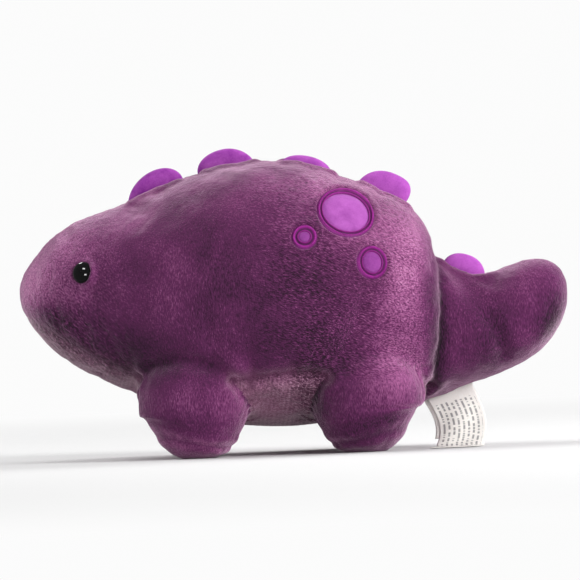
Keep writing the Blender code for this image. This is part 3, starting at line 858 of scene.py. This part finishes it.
def satin_thread(name, dark, light):
    """Shiny embroidery thread with painted shade: darker in the groove and between the stitches, lighter on
    the raised thread, following the stored height of the stitches.
    """
    tree = new_material(name)
    fibre = tree.patches(tree.stored("rest", "Vector"), 0.45, detail=1.0)
    # painted shade and highlight from the stitches' height
    tone = tree.math("MULTIPLY_ADD", fibre, 0.3, tree.stored("raised"))
    return tree.surface({
        "Base Color": tree.ramp(tone, ((0.25, linear(*dark)), (1.0, linear(*light)))),
        "Roughness": 0.5,
        "Specular IOR Level": 0.25,
        "Sheen Weight": 0.15,
        "Sheen Tint": (1.0, 0.4, 1.0, 1.0),
        "Normal": tree.bumped(fibre, 0.12, 0.6),
    })


def glossy_plastic(name, colour):
    """Black plastic with a little wear in its gloss."""
    tree = new_material(name)
    wear = tree.patches(tree.stored("rest", "Vector"), 1.6)
    return tree.surface({
        "Base Color": linear(*colour),
        "Roughness": tree.ramp(wear, ((0.3, (0.03, 0.03, 0.03, 1.0)), (0.8, (0.09, 0.09, 0.09, 1.0)))),
        "Specular IOR Level": 0.5,
    })


def satin_ribbon(name, marks):
    """White satin ribbon, with rows of plain grey dashes where its wording would be."""
    tree = new_material(name)
    place = tree.stored("cloth", "Vector")
    thread = tree.stretched(place, (2.6, 0.5, 1.0))
    weave = tree.first("TexNoise", {"Vector": thread, "Scale": 1.0, "Detail": 2.0})
    colour = tree.ramp(weave, ((0.3, linear(247, 242, 235)), (0.7, linear(255, 253, 249))))
    if marks:
        colour = tree.mixed_colours(dashes(tree, place), colour, linear(96, 94, 96))
    return tree.surface({
        "Base Color": colour,
        "Roughness": 0.38,
        "Specular IOR Level": 0.6,
        "Anisotropic": 0.4,
        "Normal": tree.bumped(weave, 0.06, 0.5),
    })


LINE_PITCH = 2.6
LINE_SHARE = 0.42
LINE_ENDS = (4.0, 46.0)  # how far down the ribbon its marks begin and end
LINE_REACH = 10.6  # how far from the ribbon's middle they go
LINE_INK = 0.72


def dashes(tree, place):
    """Rows of dashes that run along the ribbon: no letters, only uneven blocks of grey."""
    across, down, _ = tree.node("SeparateXYZ", {0: place}).outputs
    row = tree.math("DIVIDE", across, LINE_PITCH)
    number = tree.math("MULTIPLY", tree.math("FLOOR", row), 17.3)
    along = tree.stretched(place, (0.0, 0.95, 0.0))
    blocks = {"Vector": along, "W": number, "Scale": 1.0, "Detail": 0.0}
    blocks = tree.first("TexNoise", blocks, noise_dimensions="4D")
    wanted = (
        tree.math("LESS_THAN", tree.math("FRACT", row), LINE_SHARE),
        tree.math("GREATER_THAN", blocks, 0.46),
        tree.math("GREATER_THAN", down, LINE_ENDS[0]),
        tree.math("LESS_THAN", down, LINE_ENDS[1]),
        tree.math("LESS_THAN", tree.math("ABSOLUTE", across), LINE_REACH),
    )
    ink = LINE_INK
    for mask in wanted:
        ink = tree.math("MULTIPLY", mask, ink)
    return ink


PINK_SHEEN = (1.0, 0.66, 0.88, 1.0)
PALE_SHEEN = (1.0, 0.8, 0.9, 1.0)
VIOLET_SHEEN = (1.0, 0.6, 1.0, 1.0)
LILAC_SHEEN = (1.0, 0.7, 1.0, 1.0)
# screen colours of the pile, from its darkest to its lightest
BODY_COLOURS = ((24, 2, 20), (62, 15, 56), (98, 33, 86), (160, 88, 140), (206, 140, 184))
BELLY_COLOURS = ((64, 28, 52), (108, 58, 88), (146, 94, 124), (188, 140, 166), (214, 176, 196))
BODY_PILE = plush("body_pile", BODY_COLOURS, BELLY_COLOURS, PINK_SHEEN, 0.72, (2.1, 0.52))
BELLY_PILE = plush("belly_pile", BELLY_COLOURS, BODY_COLOURS, PALE_SHEEN, 1.3, (2.0, 0.8), knit=0.45)
# the plates are painted lighter towards the tail, where the key light falls
PLATE_VELOUR = velour("plate_velour", (128, 26, 144), (200, 100, 206), VIOLET_SHEEN, painted_light_to_tail=0.0016)
PATCH_VELOUR = velour("patch_velour", (150, 64, 156), (192, 102, 196), LILAC_SHEEN)
SMALL_PATCH_VELOUR = velour("small_patch_velour", (122, 42, 128), (168, 78, 168), LILAC_SHEEN)
BORDER_THREAD = satin_thread("border_thread", (82, 10, 78), (182, 44, 166))
EYE_PLASTIC = glossy_plastic("eye_plastic", (6, 5, 7))
LABEL_SATIN = satin_ribbon("label_satin", marks=True)
LABEL_PLAIN = satin_ribbon("label_plain_satin", marks=False)


def dress(obj, material, slot, *nodes):
    """Gives a piece its material, and hides the CAD nodes that it is shown instead of."""
    obj.data.materials.append(material)
    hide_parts(*nodes)
    return obj


def sewn(skin, panel, *inside, material=BODY_PILE, slot="body"):
    """A panel's piece of the skin, which also stands for the stuffing inside it."""
    return dress(skin.piece(panel), material, slot, panel, *inside)


def make_body_skins(skin):
    pieces = [sewn(skin, f"side_panel_{side}") for side, _ in SIDES]
    pieces.append(sewn(skin, "belly_panel", "body_stuffing", material=BELLY_PILE, slot="belly"))
    for piece in pieces:
        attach(piece, "torso")


def make_tail_skins(skin):
    """The tail's two panels, cut from the skin."""
    axis = np.array(JOINTS["tail_wag"]["axis"])
    axis = axis * np.sign(axis[2])
    for side, _ in SIDES:
        inside = ["tail_stuffing"] if side == "left" else []
        panel = sewn(skin, f"tail_panel_{side}", *inside)
        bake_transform(panel)


def make_leg_skins(skin):
    """Each leg's cloth, cut from the skin: its outer and inner panels and its sole."""
    for leg in LEGS:
        for part in LEG_PARTS:
            inside = [f"{leg}_stuffing"] if part == "outer_panel" else []
            piece = sewn(skin, f"{leg}_{part}", *inside)
            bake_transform(piece)


# ---------------- plates
PLATE_COLUMNS = 120
PLATE_ROWS = 22
PLATE_TONGUE_SQUARENESS = 1.6  # of the part sewn into the back
PLATE_TONGUE = 2.5  # how much further the plate goes down into the back than its CAD solid
PLATE_SINK = 2.6  # how far its widest line lies below the CAD plate's base line
PLATE_TRIM = 0.3  # how far the velour stays inside the CAD dome
PLATE_LUMPS = 0.25  # how uneven its faces are
PLATE_HEM = 0.25  # how far each face stands out beside the seam round its edge
# the lean of each dome towards the tail, the shares of its CAD length on that side and of its height,
# and how square it is
PLATE_SHAPES = {
    1: (0.25, 1.0, 0.9, 2.0),
    2: (-0.15, 0.8, 1.05, 2.0),
    3: (0.0, 0.9, 0.88, 2.0),
    4: (0.22, 0.74, 0.98, 2.4),
    5: (-0.1, 0.95, 0.94, 2.2),
}


def make_plate(number):
    """A velour cushion of two faces that meet in a fine seam round its edge."""
    name = f"back_plate_{number}"
    middle, along, up = plate_frame(number)
    middle = middle - up * PLATE_SINK
    points = np.concatenate([cad_points(f"{name}_{half}_face") for half, _ in SIDES])
    half_length = np.abs((points - middle) @ along).max()
    top = ((points - middle) @ up).max()
    bottom = -((points - middle) @ up).min()
    thick = np.abs(points[:, 1]).max()
    angles = round_angles(PLATE_COLUMNS)
    above = np.sin(angles) >= 0.0
    skew, tail_share, height_share, squareness = PLATE_SHAPES[number]
    power = 2.0 / np.where(above, squareness, PLATE_TONGUE_SQUARENESS)
    edge_up = np.where(above, height_share * top - PLATE_TRIM, -bottom - PLATE_TONGUE)
    edge_up *= np.abs(np.sin(angles)) ** power
    edge_along = (half_length - PLATE_TRIM) * np.sign(np.cos(angles)) * np.abs(np.cos(angles)) ** power
    edge_along *= np.where(edge_along > 0.0, tail_share, 1.0)
    edge_along += skew * np.maximum(edge_up, 0.0)
    for side, sign in SIDES:
        shares = np.linspace(0.004, 1.0, PLATE_ROWS) ** 0.8
        rings = []
        for share in shares:
            ring = middle + share * (edge_along[:, None] * along + edge_up[:, None] * up)
            out = thick * max(0.0, 1.0 - share**2.6) ** 0.55
            ring[:, 1] = sign * (out + PLATE_HEM * bell(share - 0.99, 0.03) * (share < 1.0))
            lump = PLATE_LUMPS * (1.0 - share**4) * noise(ring / 6.0 + sign * 9.0, 71)
            ring[:, 1] += sign * lump
            rings.append(ring)
        face = ring_object(f"velour_{name}_{side}", rings, flip=sign < 0)
        inside = [f"{name}_fill"] if side == "left" else []
        dress(face, PLATE_VELOUR, "plate", f"{name}_{side}_face", *inside)
        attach(face, name)


# ---------------- spots
STITCH_PITCH = 0.75
BORDER_ROWS = 15
PATCH_ROWS = 14
PATCH_COLUMNS = 96


def make_border(name, side, oval, skin):
    """A satin-stitched border: an outer and an inner roll of thread with a groove between."""
    around = math.pi * (oval.half[0] + oval.half[1])
    stitches = int(around / STITCH_PITCH)
    columns = stitches * 5
    angles = round_angles(columns)
    rings, raised = [], []
    for share in np.linspace(0.0, 1.0, BORDER_ROWS):
        places, normals = skin.seen_from_side(oval.place(angles, share * oval.border), oval.sign)
        outer = bell(share - 0.28, 0.24)
        inner = bell(share - 0.88, 0.13)
        roll = max(outer, 0.75 * inner)
        thread = 0.5 + 0.5 * np.cos(angles * stitches + 3.0 * share)
        height = 0.25 + 1.35 * roll * (0.82 + 0.18 * thread) - 0.9 * (share in (0.0, 1.0))
        rings.append(places + unit(normals) * height[:, None])
        # the height that the thread's painted shade follows: low in the groove and between the stitches
        raised.append(np.clip(roll * (0.55 + 0.45 * thread), 0.0, 1.0))
    raised = np.concatenate(raised)
    border = ring_object(f"{name}_stitching_{side}", rings, flip=oval.sign > 0, raised=raised)
    dress(border, BORDER_THREAD, "border", f"{name}_border_{side}")
    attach(border, "torso")


def make_patch(name, side, oval, skin):
    """A velour patch that domes a little inside its border."""
    edge = oval.place(round_angles(PATCH_COLUMNS), oval.border * 0.86)
    centre = oval.middle[0] * oval.along + oval.middle[1] * oval.across
    rings = []
    for share in np.linspace(0.01, 1.0, PATCH_ROWS):
        places, normals = skin.seen_from_side(centre + (edge - centre) * share, oval.sign)
        height = 0.2 + 0.9 * max(0.0, 1.0 - share**3.0) ** 0.5 - 0.4 * (share == 1.0)
        rings.append(places + unit(normals) * height)
    patch = ring_object(f"{name}_velour_{side}", smoothed_rings(np.stack(rings), 3), flip=oval.sign < 0)
    material = PATCH_VELOUR if name == "large_spot" else SMALL_PATCH_VELOUR
    dress(patch, material, "patch", f"{name}_patch_{side}")
    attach(patch, "torso")


def smoothed_rings(rings, times):
    """Evens out a stack of rings, all but the first and last."""
    for _ in range(times):
        level = 0.5 * rings + 0.25 * (np.roll(rings, 1, axis=1) + np.roll(rings, -1, axis=1))
        rings[1:-1] = 0.5 * level[1:-1] + 0.25 * (level[:-2] + level[2:])
    return rings


# ---------------- eyes
EYE_COLUMNS = 64
EYE_ROWS = 20


def make_eye(side):
    """A glossy black safety eye: a domed cap with a rolled rim, set down in the pile."""
    place, facing, radius = eye_place(side)
    points = cad_points(f"eye_{side}")
    dome = ((points - place) @ facing).max()
    sideways = unit(np.cross(facing, (0.0, 0.0, 1.0)))
    upwards = np.cross(sideways, facing)
    angles = round_angles(EYE_COLUMNS)
    turns = np.linspace(0.01, 0.5 * math.pi, EYE_ROWS)
    rows = [(radius * math.sin(turn), dome * math.cos(turn)) for turn in turns]
    rows += [(radius * 0.99, -0.5), (radius * 0.93, -1.2)]
    circle = np.cos(angles)[:, None] * sideways + np.sin(angles)[:, None] * upwards
    eye = ring_object(f"glossy_eye_{side}", [place + facing * out + reach * circle for reach, out in rows])
    dress(eye, EYE_PLASTIC, "eye", f"eye_{side}", f"eye_washer_{side}")
    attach(eye, "torso")


# ---------------- care label
LABEL_WIDTH = 25.0
LABEL_LENGTH = 50.0
LABEL_BACK_LENGTH = 24.0
LABEL_TILT = math.radians(17.0)
LABEL_LEAN = math.radians(14.0)  # of the falling ribbon, out from under the tail
LABEL_DROP = 23.8
LABEL_BEND_RADIUS = 6.5
LABEL_DRIFT = 6.0  # how far it bows towards the tail as it falls
LABEL_SWEEP = 0.25  # how far it runs back for each millimetre that lies on the floor
LABEL_TUCK = 3.0  # how far the ribbon goes up into the seam
LABEL_BOW = 1.4  # how far its middle stands out
LABEL_RIPPLE = 0.5
LABEL_THICKNESS = 0.3
LABEL_COLUMNS = 29


def label_row(distance, root):
    """The middle of the ribbon that far from its root, and its direction across."""
    bend_length = (0.5 * math.pi - LABEL_LEAN) * LABEL_BEND_RADIUS
    fallen = min(distance, LABEL_DROP)
    heading = LABEL_LEAN + min(max(distance - LABEL_DROP, 0.0), bend_length) / LABEL_BEND_RADIUS
    laid = max(distance - LABEL_DROP - bend_length, 0.0)
    drop = fallen * math.cos(LABEL_LEAN)
    drop += LABEL_BEND_RADIUS * (math.sin(heading) - math.sin(LABEL_LEAN))
    out = fallen * math.sin(LABEL_LEAN) + laid
    out += LABEL_BEND_RADIUS * (math.cos(LABEL_LEAN) - math.cos(heading))
    share = min(max(distance, 0.0) / (LABEL_DROP + 0.5 * bend_length), 1.0)
    tilt = LABEL_TILT * (1.0 - share)
    across = np.array((math.cos(tilt), 0.0, math.sin(tilt)))
    drift = LABEL_DRIFT * math.sin(0.75 * math.pi * share) - LABEL_SWEEP * laid
    return root + np.array((drift, -out, -drop)), across


def make_label():
    """Two plies of satin ribbon sewn into the tail's root; the long front one carries dashes."""
    root = place_of("care_label_flap")
    plies = (
        ("satin_label_front", "care_label_front", LABEL_LENGTH, 0.0, 0.0, LABEL_SATIN),
        ("satin_label_back", "care_label_back", LABEL_BACK_LENGTH, 1.0, -2.0, LABEL_PLAIN),
    )
    for name, node_name, length, behind, shift, material in plies:
        rows = int((length + LABEL_TUCK) * 1.5)
        grid, cloth = [], []
        for distance in np.linspace(-LABEL_TUCK, length, rows):
            middle, across = label_row(distance, root)
            offsets = np.linspace(-0.5, 0.5, LABEL_COLUMNS) * LABEL_WIDTH
            bow = LABEL_BOW * np.cos(offsets / LABEL_WIDTH * math.pi) * smoothstep(2.0, 12.0, distance)
            ripple = LABEL_RIPPLE * np.sin(offsets * 0.32 + distance * 0.16)
            ripple *= smoothstep(2.0, 16.0, distance)
            row = middle + across * (offsets + shift)[:, None]
            flat_end = smoothstep(LABEL_DROP + 14.0, LABEL_DROP, distance)
            row[:, 1] += behind - (bow + ripple) * flat_end
            grid.append(row)
            level = np.zeros(LABEL_COLUMNS)
            cloth.append(np.stack((offsets, level + distance, level), axis=1))
        grid = np.concatenate(grid)
        grid[:, 2] = np.maximum(grid[:, 2], 0.5)
        ribbon = mesh_object(name, grid, grid_quads(rows, LABEL_COLUMNS), cloth=np.concatenate(cloth))
        modify(ribbon, "SOLIDIFY", thickness=LABEL_THICKNESS * MM, offset=0.0)
        settled(ribbon)
        dress(ribbon, material, "label", node_name)
        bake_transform(ribbon)


# ---------------- the studio
WHITE = (1.0, 1.0, 1.0, 1.0)
BACKDROP = 0.97  # how white the air behind the toy is
FLOOR_RADIUS = 1.6  # metres
STAGE_CORNERS = 64
FLOOR_PALE = (0.2, 1.1)  # how far off the floor begins to pale, and where it is as pale as the air
FLOOR_ALBEDO = (0.66, 0.78)  # as the toy is lit by it, and as it is seen


def stage_material():
    """A pale floor round the toy that turns to plain white further off."""
    tree = new_material("studio_white")
    place = tree.node("NewGeometry", {}).outputs["Position"]
    away = tree.node("VectorMath", {0: place}, operation="LENGTH").outputs["Value"]
    limits = {"Value": away, 1: FLOOR_PALE[0], 2: FLOOR_PALE[1]}
    share = tree.first("MapRange", limits, interpolation_type="SMOOTHSTEP")
    seen = tree.node("LightPath", {}).outputs["Is Camera Ray"]
    glowing = tree.math("MULTIPLY", share, seen)  # what glows doesn't light the toy
    paint = tree.first("BsdfDiffuse", {"Color": tree.blend(seen, *FLOOR_ALBEDO)})
    glow = tree.first("Emission", {"Color": WHITE, "Strength": BACKDROP})
    both = tree.first("MixShader", {0: glowing, 1: paint, 2: glow})
    tree.node("OutputMaterial", {"Surface": both})
    return tree.owner


def make_stage():
    turns = round_angles(STAGE_CORNERS)
    ring = np.stack((np.cos(turns), np.sin(turns), np.zeros(STAGE_CORNERS)), axis=1)
    floor = ring_object("studio_floor", [ring * reach / MM for reach in (0.001, FLOOR_RADIUS)], flip=True)
    floor.data.materials.append(stage_material())
    floor.visible_glossy = False


def area_light(name, place, target, width, height, watts, glossy=True):
    """A rectangular lamp that the camera doesn't see."""
    light = bpy.data.lights.new(name, "AREA")
    with_settings(light, shape="RECTANGLE", size=width, size_y=height, energy=watts)
    turned = (Vector(target) - Vector(place)).to_track_quat("-Z", "Y").to_euler()
    obj = with_settings(linked(name, light), location=place, rotation_euler=turned)
    return with_settings(obj, visible_camera=False, visible_glossy=glossy)


SURROUND = 0.19  # how strongly the surround lights the toy
GLINT_WATTS = 10.0  # of the lamps that show only as glints in the eyes


def make_lights():
    """Broad soft lamps: a key from the front right, two from above for the edges, a low front fill.

    Two more on each side light nothing: they are what the eyes reflect.
    """
    middle = (0.0, 0.0, 0.07)
    area_light("key", (1.15, -0.75, 0.85), middle, 0.6, 0.6, 17.5)
    area_light("back_right", (1.0, 0.5, 0.95), middle, 0.7, 0.7, 11.0, glossy=False)
    area_light("back_left", (-1.0, 0.25, 1.1), middle, 0.8, 0.8, 13.5, glossy=False)
    area_light("low_front", (0.7, -1.8, 0.42), middle, 0.6, 0.6, 7.5, glossy=False)
    for side, sign in SIDES:
        for row, place in (("upper", (-0.55, 1.23, 1.38)), ("lower", (-0.23, 1.84, 0.09))):
            place = (place[0], sign * place[1], place[2])
            eye = centre_of(f"eye_{side}") * MM
            glint = area_light(f"{row}_glint_{side}", place, eye, 0.55, 0.32, GLINT_WATTS)
            glint.visible_diffuse = False
    tree = Shader(bpy.data.worlds.new("studio"))
    seen = tree.node("LightPath", {}).outputs["Is Camera Ray"]
    light = tree.first("Background", {"Color": WHITE, "Strength": SURROUND})
    white = tree.first("Background", {"Color": WHITE, "Strength": BACKDROP})
    tree.node("OutputWorld", {"Surface": tree.first("MixShader", {0: seen, 1: light, 2: white})})
    bpy.context.scene.world = tree.owner
    bpy.context.scene.view_settings.view_transform = "Standard"


CAMERA_DISTANCE = 5.0  # metres
CAMERA_ELEVATION = math.radians(0.6)
CAMERA_ROLL = math.radians(2.3)
VIEW_WIDTH = 1.06  # of the toy's length
VIEW_RISE = 0.53  # of the toy's height
VIEW_OFFSET = 0.0014  # metres that the view's middle lies towards the head


def make_camera():
    """Level with the toy's left side, a little above it, with a long lens and a slight roll."""
    low, high = CAD_BOX
    middle = 0.5 * (low.x + high.x) - VIEW_OFFSET
    target = Vector((middle, 0.0, low.z + VIEW_RISE * (high.z - low.z)))
    back = Vector((0.0, -math.cos(CAMERA_ELEVATION), math.sin(CAMERA_ELEVATION)))
    data = with_settings(bpy.data.cameras.new("camera"), sensor_width=36.0)
    data.lens = data.sensor_width * CAMERA_DISTANCE / (VIEW_WIDTH * (high.x - low.x))
    camera = linked("camera", data)
    facing = (-back).to_track_quat("-Z", "Y").to_matrix().to_4x4()
    roll = Matrix.Rotation(-CAMERA_ROLL, 4, back)
    camera.matrix_world = Matrix.Translation(target + back * CAMERA_DISTANCE) @ roll @ facing
    bpy.context.scene.camera = camera


def main():
    make_camera()
    make_lights()
    make_stage()
    skin = Skin()
    make_body_skins(skin)
    make_tail_skins(skin)
    make_leg_skins(skin)
    for number in PLATE_NUMBERS:
        make_plate(number)
    for (name, side), oval in OVALS.items():
        make_border(name, side, oval, skin)
        make_patch(name, side, oval, skin)
    for side, _ in SIDES:
        make_eye(side)
    make_label()


main()
